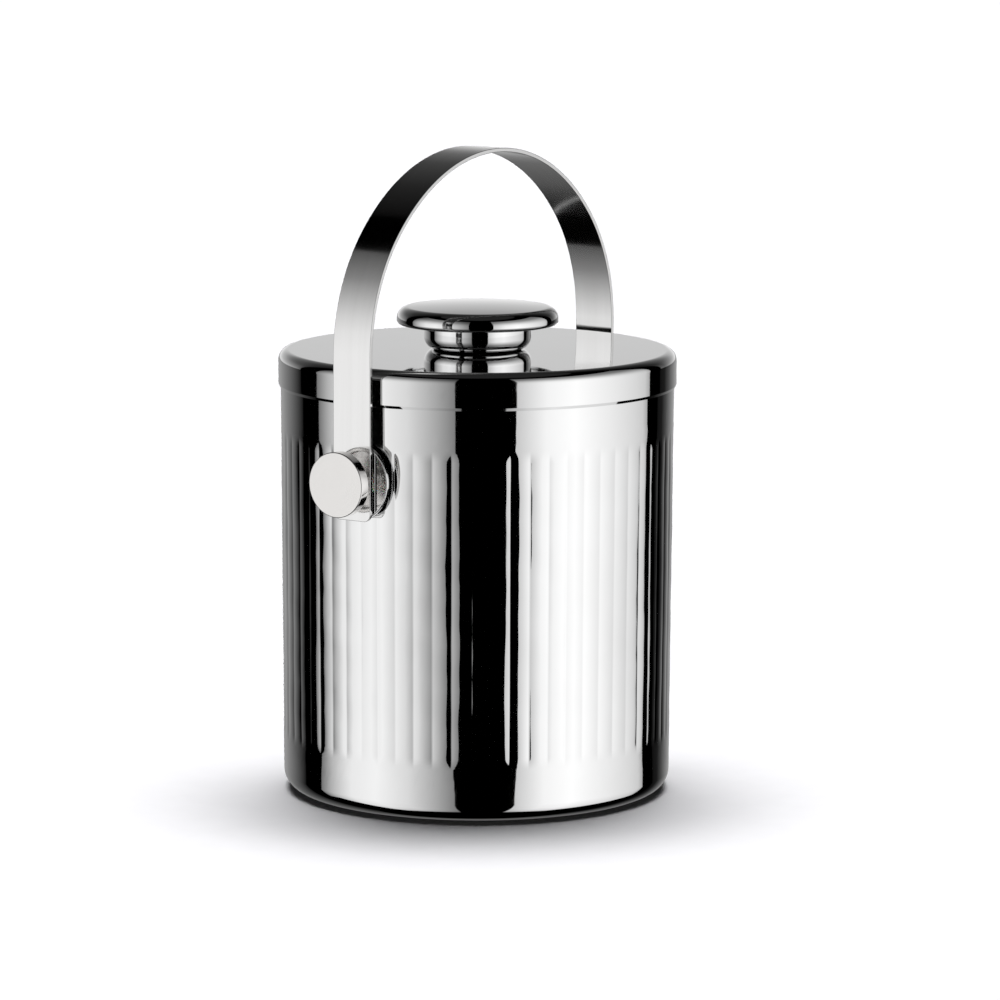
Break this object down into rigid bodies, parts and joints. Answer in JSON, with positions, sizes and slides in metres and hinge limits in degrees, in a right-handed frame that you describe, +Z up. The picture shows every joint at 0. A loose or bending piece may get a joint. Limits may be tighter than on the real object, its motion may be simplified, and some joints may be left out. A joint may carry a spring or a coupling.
{
  "type": "ice bucket",
  "caption": "Round double-wall steel ice bucket with upright flutes, a plug lid with a mushroom knob, and a strap bail on shoulder screws.",
  "frame": {"origin": "centre of the foot ring's lower face, on the surface that the bucket stands on", "axes": "+Z up along the body's axis, X along the bail's pivot axis with the left pivot at -X, +Y completes the right-handed frame"},
  "size_m": [0.1806, 0.1518, 0.2465],
  "materials": {
    "polished_steel": "mirror-polished stainless steel",
    "strap_steel": "polished stainless strip with fine lengthwise brushing",
    "button_steel": "satin turned face, polished edge",
    "satin_steel": "spun satin stainless steel",
    "zinc_steel": "zinc-plated steel",
    "silicone": "matt moulded silicone",
    "nylon": "natural moulded nylon",
    "foam": "rigid polyurethane foam"
  },
  "bodies": {
    "bucket": {"outer_shell": "polished_steel", "inner_liner": "satin_steel", "wall_insulation": "foam", "floor_insulation": "foam", "base_plate": "satin_steel", "foot_ring": "silicone", "left_backing_plate": "satin_steel", "right_backing_plate": "satin_steel", "left_pivot_spacer": "polished_steel", "right_pivot_spacer": "polished_steel", "left_inner_washer": "nylon", "right_inner_washer": "nylon", "left_pivot_screw": "button_steel", "right_pivot_screw": "button_steel", "left_lock_nut": "zinc_steel", "right_lock_nut": "zinc_steel"},
    "handle": {"handle_strap": "strap_steel", "left_handle_bush": "nylon", "right_handle_bush": "nylon"},
    "lid": {"lid_cover": "polished_steel", "lid_liner": "satin_steel", "lid_insulation": "foam", "lid_seal": "silicone", "knob_cap": "polished_steel", "knob_underplate": "polished_steel", "knob_neck": "polished_steel", "knob_stud": "zinc_steel", "knob_washer": "zinc_steel", "knob_nut": "zinc_steel"}
  },
  "joints": [
    {"name": "handle_swing", "type": "hinge", "parent": "bucket", "child": "handle", "pos_m": [0, 0, 0.128], "axis": [1, 0, 0], "range_deg": [-132, 132]},
    {"name": "lid_lift", "type": "slide", "parent": "bucket", "child": "lid", "axis": [0, 0, 1], "range_m": [0, 0.025]}
  ]
}
